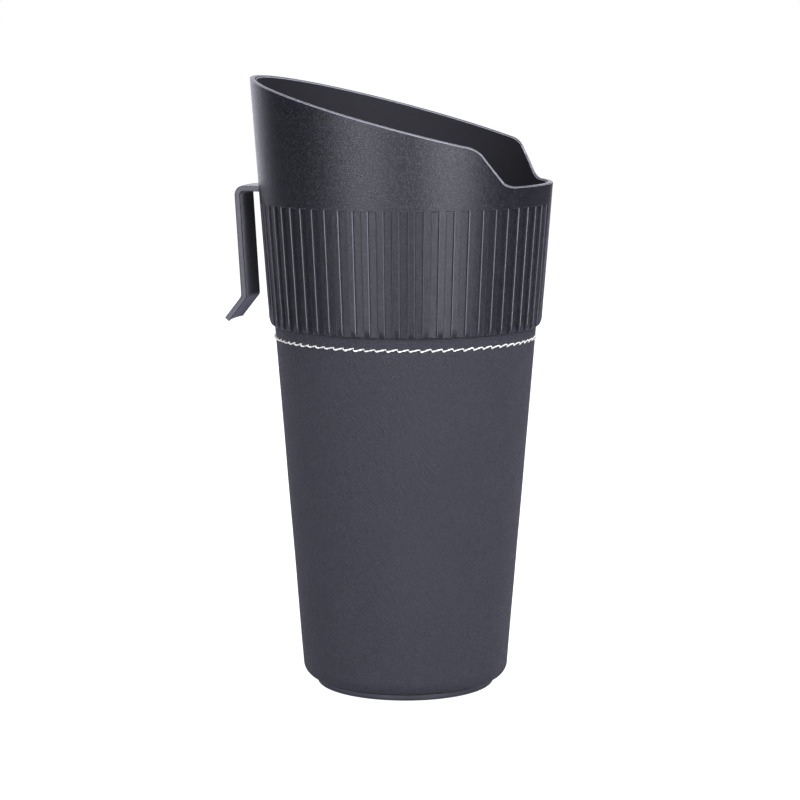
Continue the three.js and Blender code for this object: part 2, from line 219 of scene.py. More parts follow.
def end_editing():
    """Turns all faces outward and leaves edit mode."""
    bpy.ops.mesh.select_all(action="SELECT")
    bpy.ops.mesh.normals_make_consistent(inside=False)
    bpy.ops.object.mode_set(mode="OBJECT")


def turn_rings(name, steps, rings):
    """Raises a shell round the axis, one ring of points after another, and closes what comes together."""
    deselect_everything()
    pole = 1e-7
    radius, z = max(rings[0][0], pole), rings[0][1]
    bpy.ops.mesh.primitive_circle_add(vertices=steps, radius=radius, location=(0, 0, z))
    piece = bpy.context.object
    piece.name = piece.data.name = name
    settle()
    bpy.ops.object.mode_set(mode="EDIT")
    for next_radius, next_z in rings[1:]:
        pull_out((0, 0, next_z - z))
        grow = max(next_radius, pole) / radius
        bpy.ops.transform.resize(value=(grow, grow, 1), center_override=(0, 0, next_z))
        radius, z = max(next_radius, pole), next_z
    bpy.ops.mesh.select_all(action="SELECT")
    bpy.ops.mesh.remove_doubles(threshold=1e-6)
    end_editing()
    return piece


def pick_points(piece, wanted):
    """Selects the piece's points that wanted(place) accepts, and nothing else."""
    mesh = piece.data
    mesh.polygons.foreach_set("select", [False] * len(mesh.polygons))
    mesh.edges.foreach_set("select", [False] * len(mesh.edges))
    mesh.vertices.foreach_set("select", [bool(wanted(v.co)) for v in mesh.vertices])
    bpy.context.view_layer.objects.active = piece
    bpy.context.tool_settings.mesh_select_mode = (True, False, False)


def pick_sharp_edges(piece, degrees, wanted):
    """Selects the edges that are sharper than the angle, with both ends where wanted(place) accepts."""
    pick_points(piece, lambda place: False)
    bpy.context.tool_settings.mesh_select_mode = (False, True, False)
    bpy.ops.object.mode_set(mode="EDIT")
    bpy.ops.mesh.edges_select_sharp(sharpness=math.radians(degrees))
    bpy.ops.object.mode_set(mode="OBJECT")
    points = piece.data.vertices
    piece.data.polygons.foreach_set("select", [False] * len(piece.data.polygons))
    for edge in piece.data.edges:
        edge.select = edge.select and all(wanted(points[i].co) for i in edge.vertices)
    chosen = {i for edge in piece.data.edges if edge.select for i in edge.vertices}
    points.foreach_set("select", [i in chosen for i in range(len(points))])


def turn_picked(angle):
    """Turns the picked points about the upright axis."""
    bpy.ops.object.mode_set(mode="EDIT")
    bpy.ops.transform.rotate(value=angle, orient_axis="Z", center_override=(0, 0, 0))
    bpy.ops.object.mode_set(mode="OBJECT")


def scale_picked(scale, z=0):
    """Scales the picked points about a point on the upright axis."""
    bpy.ops.object.mode_set(mode="EDIT")
    bpy.ops.transform.resize(value=scale, center_override=(0, 0, z))
    bpy.ops.object.mode_set(mode="OBJECT")


def round_picked(offset, segments=4):
    """Rounds the picked edges over."""
    bpy.ops.object.mode_set(mode="EDIT")
    bpy.ops.mesh.bevel(offset=offset, segments=segments, affect="EDGES", clamp_overlap=False)
    bpy.ops.object.mode_set(mode="OBJECT")


def cut_with(piece, tool, operation="DIFFERENCE"):
    """Cuts the piece with a tool, or joins the tool on to it, and throws the tool away."""
    boolean = piece.modifiers.new("cut", "BOOLEAN")
    boolean.operation = operation
    boolean.solver = "MANIFOLD"
    boolean.object = tool
    bpy.context.view_layer.objects.active = piece
    bpy.ops.object.modifier_apply(modifier=boolean.name)
    bpy.data.objects.remove(tool)


def add_block(low, high):
    """Adds a plain block between two corners, as a tool for cutting or joining."""
    deselect_everything()
    middle = [(a + b) / 2 for a, b in zip(low, high)]
    bpy.ops.mesh.primitive_cube_add(size=1, location=middle)
    bpy.context.object.scale = [b - a for a, b in zip(low, high)]
    settle()
    return bpy.context.object


def add_rod(radius, low, high, place=(0, 0), sides=48):
    """Adds an upright rod between two heights, as a tool for cutting or joining."""
    deselect_everything()
    middle = (place[0], place[1], (low + high) / 2)
    bpy.ops.mesh.primitive_cylinder_add(vertices=sides, radius=radius, depth=high - low, location=middle)
    settle()
    return bpy.context.object


skirt_edge = skirt_bore + skirt_lip
round_radius = hood_radius(hood_foot + skirt_round)
above_rim = hood_top + 3 * mm
skirt_corner = (round_radius - skirt_edge, skirt_round)
skirt_rings = arc((skirt_edge, hood_foot + skirt_round), skirt_corner, -90, 0, 10)
groove_heights = [groove_top - below * mm for below in (0.3, 0.16, 0.02)]
groove_rings = [(hood_radius(z), z) for z in groove_heights]
hood = turn_rings(
    "hood_shell",
    rib_count * columns,
    [
        (skirt_bore + 0.2 * mm, hood_foot),
        *skirt_rings,
        *groove_rings,
        (hood_radius(groove_top + 0.16 * mm), groove_top + 0.16 * mm),
        (hood_radius(groove_top + 1.2 * mm), groove_top + 1.2 * mm),
        (hood_radius(above_rim), above_rim),
        (hood_radius(above_rim) - hood_wall, above_rim),
        (hood_radius(funnel_top + 1.5 * mm) - hood_wall, funnel_top + 1.5 * mm),
        (hood_radius(funnel_top) - hood_wall - 0.5 * mm, funnel_top),
        (neck_bore + 0.5 * mm, funnel_foot + 0.3 * mm),
        (neck_bore, funnel_foot - 0.3 * mm),
        (neck_bore, shoulder_z + 0.2 * mm),
        (neck_bore + 0.2 * mm, shoulder_z),
        (skirt_bore, shoulder_z),
        (skirt_bore, hood_foot + 0.2 * mm),
        (skirt_bore + 0.2 * mm, hood_foot),
    ],
)


def turn_from_groove(point):
    """How far round the axis a point is from the middle of the nearest groove, in degrees."""
    pitch = 360 / rib_count
    return (math.degrees(math.atan2(-point.x, point.y)) + pitch / 2) % pitch - pitch / 2


def on_band(point):
    """Whether the point is on the outside of the ribbed band."""
    return point.z < groove_top + 0.5 * mm and point.xy.length > skirt_bore + 0.25 * mm


# The columns of points are first drawn together at the grooves' sides, by these many degrees.
column_turns = {1: 0.25, 2: 0.22, 3: -0.20, 4: -0.44}
column_pitch = 360 / rib_count / columns
for column, turn in column_turns.items():
    for side in (-1, 1):
        pick_points(
            hood,
            lambda p: on_band(p) and round(turn_from_groove(p) / column_pitch) == side * column,
        )
        turn_picked(-side * math.radians(turn))

# Then the grooves are pressed in, ring by ring. They run out through the skirt's rounded edge.
for land, z in skirt_rings + groove_rings:
    floor_depth = groove_depth if z < groove_top - 0.1 * mm else land_round
    floor_share = (0, groove_floor_turn, floor_depth)
    edge_share = (groove_floor_turn, groove_edge_turn, land_round)
    for near, far, depth in (floor_share, edge_share):
        press = min(land, hood_radius(z) - depth) / land
        pick_points(
            hood,
            lambda p: on_band(p) and abs(p.z - z) < 1e-6 and near <= abs(turn_from_groove(p)) < far,
        )
        scale_picked((press, press, 1), z)

# The hook's seat is joined on to the back wall, the slot for the hook's tongue is cut above it, and the
# screws' holes are cut down into it.
strap_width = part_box("hook")[1].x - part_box("hook")[0].x
strap_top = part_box("hook")[1].z
strap_thickness = 2.1 * mm
tongue_under = strap_top - strap_thickness + 0.3 * mm
tongue_end = math.hypot(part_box("hook")[0].y, strap_width / 2)
seat_half = strap_width / 2 + 3 * mm
seat_top = tongue_under - seat_gap
seat_start = 35 * mm
seat = add_block((-seat_half, seat_start, shoulder_z + 0.6 * mm), (seat_half, rim_radius, seat_top))
cut_with(seat, add_rod(neck_bore, shoulder_z - 5 * mm, seat_top + 5 * mm, sides=180))
inside_wall = hood_radius(shoulder_z) - hood_wall / 3
cut_with(seat, add_rod(inside_wall, shoulder_z - 5 * mm, seat_top + 5 * mm, sides=180), "INTERSECT")
cut_with(hood, seat, "UNION")
slot_half = strap_width / 2 + seat_gap
slot_start = 47 * mm
slot_end = (slot_half, rim_radius + 5 * mm, strap_top + seat_gap)
cut_with(hood, add_block((-slot_half, slot_start, seat_top), slot_end))
screw_radius = 1.1 * mm
hook_screws = [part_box("hook_screw_left"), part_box("hook_screw_right")]
hook_screw_places = [((low.x + high.x) / 2, (low.y + high.y) / 2) for low, high in hook_screws]
screw_hole = screw_radius + seat_gap
screw_hole_foot = hook_screws[0][0].z - seat_gap
for place in hook_screw_places:
    cut_with(hood, add_rod(screw_hole, screw_hole_foot, seat_top + 1 * mm, place, 24))

# The mouth is cut by a block whose underside is the lip, the ramp and the slanted rim.
deselect_everything()
reach = rim_radius + 12 * mm
bpy.ops.mesh.primitive_plane_add(size=1, location=(0, (ramp_foot - reach) / 2, lip_z))
mouth = bpy.context.object
mouth.scale = (2 * reach, reach + ramp_foot, 1)
settle()
pick_points(mouth, lambda p: p.y > ramp_foot - 1e-6)
bpy.ops.object.mode_set(mode="EDIT")
pull_out((0, crest - ramp_foot, crest_z - lip_z))
back_run = reach - crest
pull_out((0, back_run, back_run * mouth_slope))
bpy.ops.object.mode_set(mode="OBJECT")
for corner_y, corner_z, tangent in ((ramp_foot, lip_z, 2.5 * mm), (crest, crest_z, 2.8 * mm)):
    pick_points(mouth, lambda p: abs(p.y - corner_y) < 1e-6 and abs(p.z - corner_z) < 1e-6)
    round_picked(tangent, 7)
bpy.ops.object.mode_set(mode="EDIT")
bpy.ops.mesh.select_all(action="SELECT")
pull_out((0, 0, 60 * mm))
end_editing()
cut_with(hood, mouth)

# Both edges of the rim are rounded over, once its long face is split up.
pick_points(hood, lambda place: False)
bpy.context.tool_settings.mesh_select_mode = (False, False, True)
bpy.ops.object.mode_set(mode="EDIT")
bpy.ops.mesh.select_face_by_sides(number=4, type="GREATER")
bpy.ops.mesh.quads_convert_to_tris()
bpy.ops.object.mode_set(mode="OBJECT")
pick_sharp_edges(hood, 35, lambda place: place.z > lip_z - 0.5 * mm)
round_picked(rim_round)


def smooth_over(piece, degrees=28):
    """Shades the piece smooth, apart from edges sharper than the angle, with its broad faces kept flat."""
    deselect_everything()
    piece.select_set(True)
    bpy.context.view_layer.objects.active = piece
    bpy.ops.object.shade_smooth_by_angle(angle=math.radians(degrees))
    even = piece.modifiers.new("even", "WEIGHTED_NORMAL")
    even.keep_sharp = True
    bpy.ops.object.modifier_apply(modifier=even.name)


smooth_over(hood)
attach(hood, "top")
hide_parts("hood")


def new_group(name, takes, gives):
    """Starts a shader node group from its inputs, each with its usual value, and its outputs' names."""
    group = bpy.data.node_groups.new(name, "ShaderNodeTree")
    for label, value in takes.items():
        kind = "NodeSocketVector" if value is None else "NodeSocketFloat"
        socket = group.interface.new_socket(label, in_out="INPUT", socket_type=kind)
        if value is not None:
            socket.default_value = value
    for label in gives:
        group.interface.new_socket(label, in_out="OUTPUT", socket_type="NodeSocketFloat")
    return group, group.nodes.new("NodeGroupInput").outputs, group.nodes.new("NodeGroupOutput").inputs


def use_group(tree, group, **values):
    """Places a group in a material, with the values or links that this material gives it."""
    return put(tree, "Group", {"node_tree": group}, **values)


# Spark texture: the fine eroded grain of a mould, and a few grains whose colour is painted lighter as
# painted glints.
spark_inputs = {"Place": None, "Grain": 2200, "Flecks": 0.05}
spark_texture, taken, given = new_group("spark_texture", spark_inputs, ["Height", "Fleck"])
grain = put(spark_texture, "TexNoise", Vector=taken["Place"], Scale=taken["Grain"], Detail=2, Roughness=0.6)
cells = put(spark_texture, "TexVoronoi", Vector=taken["Place"], Scale=taken["Grain"])
draw_of_cell = put(spark_texture, "SeparateColor", Color=cells.outputs["Color"]).outputs["Red"]
cut_off = work_out(spark_texture, "SUBTRACT", 1, taken["Flecks"])
give(spark_texture, given["Height"], grain.outputs["Fac"])
give(spark_texture, given["Fleck"], work_out(spark_texture, "GREATER_THAN", draw_of_cell, cut_off))

# Painted edge highlight: a mask along convex edges, broken up by noise, where the edges are painted lighter
# to stand in for highlights.
painted_edge_highlight, taken, given = new_group("painted_edge_highlight", {"Place": None, "Width": 0.06, "Amount": 0.5}, ["Mask"])
just_convex = 0.51
pointiness = put(painted_edge_highlight, "NewGeometry").outputs["Pointiness"]
fully_convex = work_out(painted_edge_highlight, "ADD", just_convex, taken["Width"])
convex = between(painted_edge_highlight, pointiness, 0, 1, just_convex, fully_convex)
patches = put(painted_edge_highlight, "TexNoise", Vector=taken["Place"], Scale=300, Detail=3)
broken = work_out(painted_edge_highlight, "MULTIPLY", convex, patches.outputs["Fac"])
give(painted_edge_highlight, given["Mask"], work_out(painted_edge_highlight, "MULTIPLY", broken, taken["Amount"], limit=True))

# Hand marks: slow, faint changes of tone and gloss over a surface that is touched and wiped.
hand_marks, taken, given = new_group("hand_marks", {"Place": None, "Size": 0.03}, ["Tone"])
per_metre = work_out(hand_marks, "DIVIDE", 1, taken["Size"])
cloud = put(hand_marks, "TexNoise", Vector=taken["Place"], Scale=per_metre, Detail=4, Roughness=0.55)
give(hand_marks, given["Tone"], between(hand_marks, cloud.outputs["Fac"], 0, 1, 0.3, 0.7))


def start_material(piece, name, colour, roughness):
    """Gives the piece a new material of one colour and roughness, and hands back what it is built from."""
    material = bpy.data.materials.new(name)
    material.use_nodes = True
    tree = material.node_tree
    surface = tree.nodes["Principled BSDF"]
    surface.inputs["Base Color"].default_value = (*colour, 1)
    surface.inputs["Roughness"].default_value = roughness
    piece.data.materials.clear()
    piece.data.materials.append(material)
    return tree, surface, put(tree, "TexCoord").outputs["Object"]


def shade(colour, share):
    """A lighter or darker shade of a colour."""
    return [channel * share for channel in colour]


def blend_colours(tree, mask, first, second):
    """A colour that goes from the first to the second as the mask goes from 0 to 1."""
    mix = put(tree, "Mix", {"data_type": "RGBA"})
    give(tree, mix.inputs["Factor"], mask)
    colour_inputs = [socket for socket in mix.inputs if socket.type == "RGBA"]
    for socket, colour in zip(colour_inputs, (first, second)):
        give(tree, socket, colour if isinstance(colour, bpy.types.NodeSocket) else (*colour, 1))
    return next(socket for socket in mix.outputs if socket.type == "RGBA")


def raise_grain(tree, surface, height, depth, strength=1):
    """Bumps a surface by a height from 0 to 1, over a depth in metres."""
    bump = put(tree, "Bump", Height=height, Strength=strength, Distance=depth)
    give(tree, surface.inputs["Normal"], bump.outputs["Normal"])


# Painted highlight: the lighter colour that edges are painted, in place of the light they catch.
painted_highlight_colour = (0.2, 0.2, 0.215)
# Painted glint: the colour that a few spark grains are painted, as if they caught the light.
painted_glint_colour = (0.018, 0.018, 0.021)


def plastic_finish(piece, name, colour, roughness, grain_depth, glints=0.0, edge_highlight=0.3, grain=2200):
    """Moulded plastic: spark grain with a few grains painted lighter as glints, faint hand marks, and convex
    edges painted a little lighter as highlights.
    """
    tree, surface, place = start_material(piece, name, colour, roughness)
    spark = use_group(tree, spark_texture, Place=place, Grain=grain, Flecks=glints)
    edge = use_group(tree, painted_edge_highlight, Place=place, Amount=edge_highlight)
    marks = use_group(tree, hand_marks, Place=place, Size=0.02)
    toned = blend_colours(tree, marks.outputs["Tone"], shade(colour, 0.9), shade(colour, 1.1))
    # The few spark grains are painted lighter, as painted glints.
    glinted = blend_colours(tree, spark.outputs["Fleck"], toned, painted_glint_colour)
    # Convex edges are painted lighter, as painted highlights.
    highlighted = blend_colours(tree, edge.outputs["Mask"], glinted, painted_highlight_colour)
    give(tree, surface.inputs["Base Color"], highlighted)
    sheen_of_grain = between(tree, spark.outputs["Height"], roughness - 0.08, roughness + 0.08)
    give(tree, surface.inputs["Roughness"], sheen_of_grain)
    raise_grain(tree, surface, spark.outputs["Height"], grain_depth)
    return tree, surface, place


# The outside is spark-textured and the inside of the hood is left dull and plain, with its colour painted
# darker still as painted shade.
spark_depth = 0.13 * mm
core_depth = 0.004 * mm
inside_shade_colour = (0.001, 0.001, 0.003)
core_roughness = 0.85
corner_roughness = 0.8
within_wall = 0.6 * mm - hood_wall
tree, surface, place = plastic_finish(
    hood,
    "hood_plastic",
    (0.003, 0.003, 0.004),
    roughness=0.31,
    grain_depth=spark_depth,
    glints=0.25,
    edge_highlight=0,
    grain=2800,
)
apart = put(tree, "SeparateXYZ", Vector=place).outputs
flat_place = put(tree, "CombineXYZ", X=apart["X"], Y=apart["Y"])
from_axis = put(tree, "VectorMath", {"operation": "LENGTH"}, Vector=flat_place.outputs["Vector"])
foot_within = hood_radius(hood_foot) + within_wall
core_radius = between(tree, apart["Z"], foot_within, rim_radius + within_wall, hood_foot, hood_top)
outside = work_out(tree, "GREATER_THAN", from_axis.outputs["Value"], core_radius)

# The ribs' edges, the groove tops and the rim's two edges are painted lighter as painted highlights, and the
# corners at the foot of the ribs' sides are dull. The ribs' masks go by the distance from the nearest
# groove's middle, in pitches of the ribs.
rib_edge_place = 0.29
rib_edge_half = 0.016
rib_corner_place = 0.238
rib_corner_half = 0.025
rib_highlight_strength = 0.45
pitches = work_out(tree, "MULTIPLY", work_out(tree, "ARCTAN2", apart["X"], apart["Y"]), rib_count / math.tau)
from_groove = work_out(tree, "PINGPONG", pitches, 0.5)
below_groove_top = work_out(tree, "LESS_THAN", apart["Z"], groove_top)
on_ribs = work_out(tree, "MULTIPLY", below_groove_top, outside)


def near_value(value, middle, reach, where):
    """A mask that is 1 where the value is near a middle one, inside another mask."""
    return work_out(tree, "MULTIPLY", work_out(tree, "COMPARE", value, middle, reach), where)


rib_edge = near_value(from_groove, rib_edge_place, rib_edge_half, on_ribs)
rib_corner = near_value(from_groove, rib_corner_place, rib_corner_half, on_ribs)
groove_end = near_value(apart["Z"], groove_top + 0.05 * mm, 0.12 * mm, outside)
in_groove = work_out(tree, "LESS_THAN", from_groove, rib_edge_place + 0.01)
groove_end_edge = work_out(tree, "MULTIPLY", groove_end, in_groove)
above_ribs = work_out(tree, "GREATER_THAN", apart["Z"], lip_z - 1 * mm)
facing = put(tree, "SeparateXYZ", Vector=put(tree, "NewGeometry").outputs["Normal"])
rim_edge = near_value(facing.outputs["Z"], 0.5, 0.2, above_ribs)
# Painted highlights: the rib edges, the groove tops and the rim's edges, picked by place and by which way
# they face.
rib_highlights = work_out(tree, "MULTIPLY", work_out(tree, "MAXIMUM", rib_edge, groove_end_edge), rib_highlight_strength)
painted_highlights = work_out(tree, "MAXIMUM", rib_highlights, rim_edge)


def fed_by(label):
    """What feeds one of the hood's surface inputs so far."""
    return surface.inputs[label].links[0].from_socket


give(tree, fed_by("Normal").node.inputs["Distance"], between(tree, outside, core_depth, spark_depth))
# The inside gets the darker colour, painted shade.
both_colours = blend_colours(tree, outside, inside_shade_colour, fed_by("Base Color"))
# The masked edges are painted in the painted highlight colour.
give(tree, surface.inputs["Base Color"], blend_colours(tree, painted_highlights, both_colours, painted_highlight_colour))
both_gloss = between(tree, outside, core_roughness, fed_by("Roughness"))
give(tree, surface.inputs["Roughness"], between(tree, rib_corner, both_gloss, corner_roughness))

# ---- Hook ----
# A separate strap of glossier plastic, moulded to the hood's curve. Its tongue passes through the slot in
# the hood and is held down on the seat by two screws. Its lower end flares out so that a panel's edge
# slides in behind it.
strap_gap = 7.5 * mm
strap_lean = math.tan(math.radians(3.5))
leg_z = strap_top - strap_thickness
bend_radius = 3.4 * mm
knee_z = hood_foot + 8.6 * mm
flare_length = 11 * mm
flare_turn = math.radians(38.5)
strap_edge_round = 0.4 * mm
inner_top = hood_radius(leg_z) + strap_gap
outer_offset = strap_thickness / math.cos(math.atan(strap_lean))


def strap_inner(z):
    return inner_top - (leg_z - z) * strap_lean


def bend_points(before, corner, after, radius, steps):
    """Points that round an outline's corner between two straight runs."""
    to_before = [b - c for b, c in zip(before, corner)]
    to_after = [a - c for a, c in zip(after, corner)]
    to_before = [v / math.hypot(*to_before) for v in to_before]
    to_after = [v / math.hypot(*to_after) for v in to_after]
    half = math.acos(sum(b * a for b, a in zip(to_before, to_after))) / 2
    middle = [b + a for b, a in zip(to_before, to_after)]
    reach = radius / math.sin(half) / math.hypot(*middle)
    centre = [c + m * reach for c, m in zip(corner, middle)]
    start = [c + b * radius / math.tan(half) for c, b in zip(corner, to_before)]
    end = [c + a * radius / math.tan(half) for c, a in zip(corner, to_after)]
    first = math.atan2(start[1] - centre[1], start[0] - centre[0])
    last = math.atan2(end[1] - centre[1], end[0] - centre[0])
    turn = (last - first + math.pi) % math.tau - math.pi
    angles = [first + turn * i / steps for i in range(steps + 1)]
    return [(centre[0] + radius * math.cos(a), centre[1] + radius * math.sin(a)) for a in angles]


inner_knee = (strap_inner(knee_z), knee_z)
flare_out = math.sin(flare_turn)
flare_down = math.cos(flare_turn)
inner_tip = (inner_knee[0] + flare_length * flare_out, knee_z - flare_length * flare_down)
outer_tip = (inner_tip[0] + strap_thickness * flare_down, inner_tip[1] + strap_thickness * flare_out)
closing = flare_out + flare_down * strap_lean
back = (outer_tip[0] - strap_inner(outer_tip[1]) - outer_offset) / closing
outer_knee = (outer_tip[0] - back * flare_out, outer_tip[1] + back * flare_down)
inner_corner = (inner_top, leg_z)
outer_corner = (strap_inner(strap_top) + outer_offset, strap_top)
wall_shoulder = hood_radius(leg_z) + seat_gap
strap_slices = 12
strap_bow = hood_radius(leg_z) + strap_gap / 2


def trace_outline(name, x, outline):
    """Draws a closed outline of [y, z] points point by point in an upright plane across X, and fills it."""
    deselect_everything()
    bpy.ops.mesh.primitive_plane_add(size=1, location=(x, 0, 0))
    piece = bpy.context.object
    piece.name = piece.data.name = name
    settle()
    bpy.context.tool_settings.mesh_select_mode = (True, False, False)
    bpy.ops.object.mode_set(mode="EDIT")
    bpy.ops.mesh.select_all(action="SELECT")
    bpy.ops.mesh.merge(type="CENTER")
    here = (0, 0)
    for point in [*outline, outline[0]]:
        move = (0, point[0] - here[0], point[1] - here[1])
        if here == (0, 0):
            bpy.ops.transform.translate(value=move)
        else:
            pull_out(move)
        here = point
    bpy.ops.mesh.select_all(action="SELECT")
    bpy.ops.mesh.remove_doubles(threshold=1e-6)
    bpy.ops.mesh.edge_face_add()
    bpy.ops.object.mode_set(mode="OBJECT")
    return piece


hook = trace_outline(
    "hook_strap",
    -strap_width / 2,
    [
        (tongue_end, tongue_under),
        (wall_shoulder, tongue_under),
        (wall_shoulder, leg_z),
        *bend_points((wall_shoulder, leg_z), inner_corner, inner_knee, bend_radius - strap_thickness, 8),
        *bend_points(inner_corner, inner_knee, inner_tip, strap_thickness, 6),
        inner_tip,
        outer_tip,
        *bend_points(outer_tip, outer_knee, outer_corner, strap_thickness, 6),
        *bend_points(outer_knee, outer_corner, (tongue_end, strap_top), bend_radius, 12),
        (tongue_end, strap_top),
    ],
)
bpy.ops.object.mode_set(mode="EDIT")
for i in range(strap_slices):
    pull_out((strap_width / strap_slices, 0, 0))
end_editing()
pick_sharp_edges(hook, 40, lambda p: abs(p.x) > strap_width / 2 - 1e-5 or p.z < hood_foot + 3 * mm)
round_picked(strap_edge_round)

# The flat strap is bowed to the hood's curve, slice by slice.
for x in sorted({round(abs(v.co.x), 6) for v in hook.data.vertices}):
    bow = math.sqrt(1 - (x / strap_bow) ** 2)
    pick_points(hook, lambda p: abs(abs(p.x) - x) < 1e-6)
    scale_picked((1, bow, 1))
for place in hook_screw_places:
    cut_with(hook, add_rod(screw_hole, tongue_under - 1 * mm, strap_top + 1 * mm, place, 32))
smooth_over(hook)
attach(hook, "top")
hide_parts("hook")
tree, surface, place = plastic_finish(
    hook,
    "hook_plastic",
    (0.035, 0.035, 0.041),
    roughness=0.34,
    grain_depth=0.006 * mm,
    edge_highlight=0.7,
    grain=900,
)
surface.inputs["Specular IOR Level"].default_value = 0.35

# ---- Screws ----
# Self-tapping pan-head screws in zinc-plated steel, each with a cross recess. Two hold the hook's tongue
# down on the hood's seat, and three hold the base cap up to the bosses under the cup's floor.
screw_head_radius = 2 * mm
screw_head = 1.2 * mm
thread_pitch = 0.9 * mm
thread_depth = 0.28 * mm
cross_long = 2.1 * mm
cross_short = 0.5 * mm
cross_depth = 0.7 * mm
thread_start = 1.3 * mm
bare_shank = 1.9 * mm


def make_screw(name, shank):
    """A screw whose head's seat is at the origin, with its shank below it."""
    root = screw_radius - thread_depth
    body = turn_rings(
        name,
        32,
        [
            (0, -shank),
            (root * 0.35, -shank + 0.1 * mm),
            (root, -shank + 1.1 * mm),
            (root, -0.1 * mm),
            (root + 0.1 * mm, 0),
            (screw_head_radius - 0.1 * mm, 0),
            (screw_head_radius, 0.1 * mm),
            (screw_head_radius, screw_head * 0.5),
            (screw_head_radius * 0.94, screw_head * 0.74),
            (screw_head_radius * 0.78, screw_head * 0.92),
            (screw_head_radius * 0.5, screw_head),
            (0, screw_head),
        ],
    )
    cross_foot = screw_head - cross_depth
    for long, short in ((cross_long / 2, cross_short / 2), (cross_short / 2, cross_long / 2)):
        cut_with(body, add_block((-long, -short, cross_foot), (long, short, screw_head + 1 * mm)))
    # The thread is one three-sided ridge carried round the shank, closed at both ends.
    deselect_everything()
    lowest = (root, 0, -shank + thread_start)
    bpy.ops.mesh.primitive_circle_add(vertices=3, radius=thread_depth, location=lowest)
    ridge = bpy.context.object
    ridge.rotation_euler = (math.pi / 2, 0, 0)
    settle()
    wind = ridge.modifiers.new("wind", "SCREW")
    wind.axis = "Z"
    wind.screw_offset = thread_pitch
    wind.iterations = int((shank - bare_shank) / thread_pitch)
    wind.steps = wind.render_steps = 20
    bpy.ops.object.modifier_apply(modifier=wind.name)
    bpy.ops.object.mode_set(mode="EDIT")
    bpy.ops.mesh.select_all(action="SELECT")
    bpy.ops.mesh.fill_holes(sides=4)
    end_editing()
    cut_with(body, ridge, "UNION")
    return body


def copy_of(original):
    """A copy of a piece, with a mesh of its own."""
    deselect_everything()
    copy = original.copy()
    copy.data = original.data.copy()
    bpy.context.collection.objects.link(copy)
    return copy


def place_screw(original, name, place, seat_z, turn):
    """Copies the screw to its hole, turned as it happened to be driven home, head up or head down."""
    copy = copy_of(original)
    copy.name = copy.data.name = name
    copy.location = (*place, seat_z)
    copy.rotation_euler = (math.pi if seat_z < 0.01 else 0, 0, turn)
    copy.select_set(True)
    bpy.context.view_layer.objects.active = copy
    settle()
    smooth_over(copy)
    return copy


def steel_finish(piece):
    """Zinc-plated steel: fine grain, slow tarnish, and convex edges painted bright as highlights."""
    tree, surface, place = start_material(piece, "zinc_plate", (0.55, 0.55, 0.56), 0.32)
    surface.inputs["Metallic"].default_value = 1
    marks = use_group(tree, hand_marks, Place=place, Size=0.0015)
    edge = use_group(tree, painted_edge_highlight, Place=place, Amount=0.6)
    spark = use_group(tree, spark_texture, Place=place, Grain=9000, Flecks=0)
    toned = blend_colours(tree, marks.outputs["Tone"], (0.42, 0.42, 0.43), (0.6, 0.6, 0.61))
    # Convex edges are painted bright, as painted highlights.
    highlighted = blend_colours(tree, edge.outputs["Mask"], toned, (0.75, 0.75, 0.76))
    give(tree, surface.inputs["Base Color"], highlighted)
    give(tree, surface.inputs["Roughness"], between(tree, marks.outputs["Tone"], 0.42, 0.26))
    raise_grain(tree, surface, spark.outputs["Height"], 0.004 * mm)


hook_shank = hook_screws[0][1].z - hook_screws[0][0].z - screw_head
long_screw = make_screw("screw_pattern", hook_shank)
hook_screw_names = ["hook_screw_left", "hook_screw_right"]
for name, place, turn in zip(hook_screw_names, hook_screw_places, (0.4, 1.1)):
    screw = place_screw(long_screw, name + "_steel", place, strap_top + seat_gap, turn)
    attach(screw, "top")
    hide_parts(name)
    steel_finish(screw)
bpy.data.objects.remove(long_screw)

base_names = ["base_screw_1", "base_screw_2", "base_screw_3"]
base_boxes = [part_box(name) for name in base_names]
base_screw_places = [((low.x + high.x) / 2, (low.y + high.y) / 2) for low, high in base_boxes]
base_seat_z = base_boxes[0][0].z + screw_head
short_screw = make_screw("screw_pattern", base_boxes[0][1].z - base_seat_z)
for i, name in enumerate(base_names):
    screw = place_screw(short_screw, name + "_steel", base_screw_places[i], base_seat_z, 0.3 + 0.9 * i)
    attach(screw, "cup")
    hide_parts(name)
    steel_finish(screw)
bpy.data.objects.remove(short_screw)

# ---- Barrel ----
# The cup itself, one deep moulding in black plastic: a tapered wall, a floor with three screw bosses
# under it, and a straight neck with a groove for the seal. Only its neck and its inside are seen, because
# the leather covers the rest.
body_slope = math.tan(math.radians(4.52))
leather_thickness = 1.4 * mm
leather_low, leather_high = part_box("leather_sleeve")
corner_radius = 5 * mm
corner_z = leather_low.z + corner_radius
barrel_wall = 2 * mm
barrel_low, barrel_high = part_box("barrel")
neck_radius = barrel_high.x
neck_foot = leather_high.z + seat_gap
floor_under = barrel_low.z + 5.2 * mm
floor_top = floor_under + 2.4 * mm
inner_corner_radius = 4 * mm
groove_high = barrel_high.z - 7 * mm
seal_width = 2.4 * mm
seal_groove_depth = 0.9 * mm
neck_lead = 0.6 * mm
turn_in_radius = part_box("base_cap")[1].x - 1.2 * mm
spigot_radius = turn_in_radius - seat_gap


def body_radius(z):
    return skirt_bore - seat_gap - (hood_foot - z) * body_slope


def barrel_radius(z):
    return body_radius(z) - leather_thickness - seat_gap


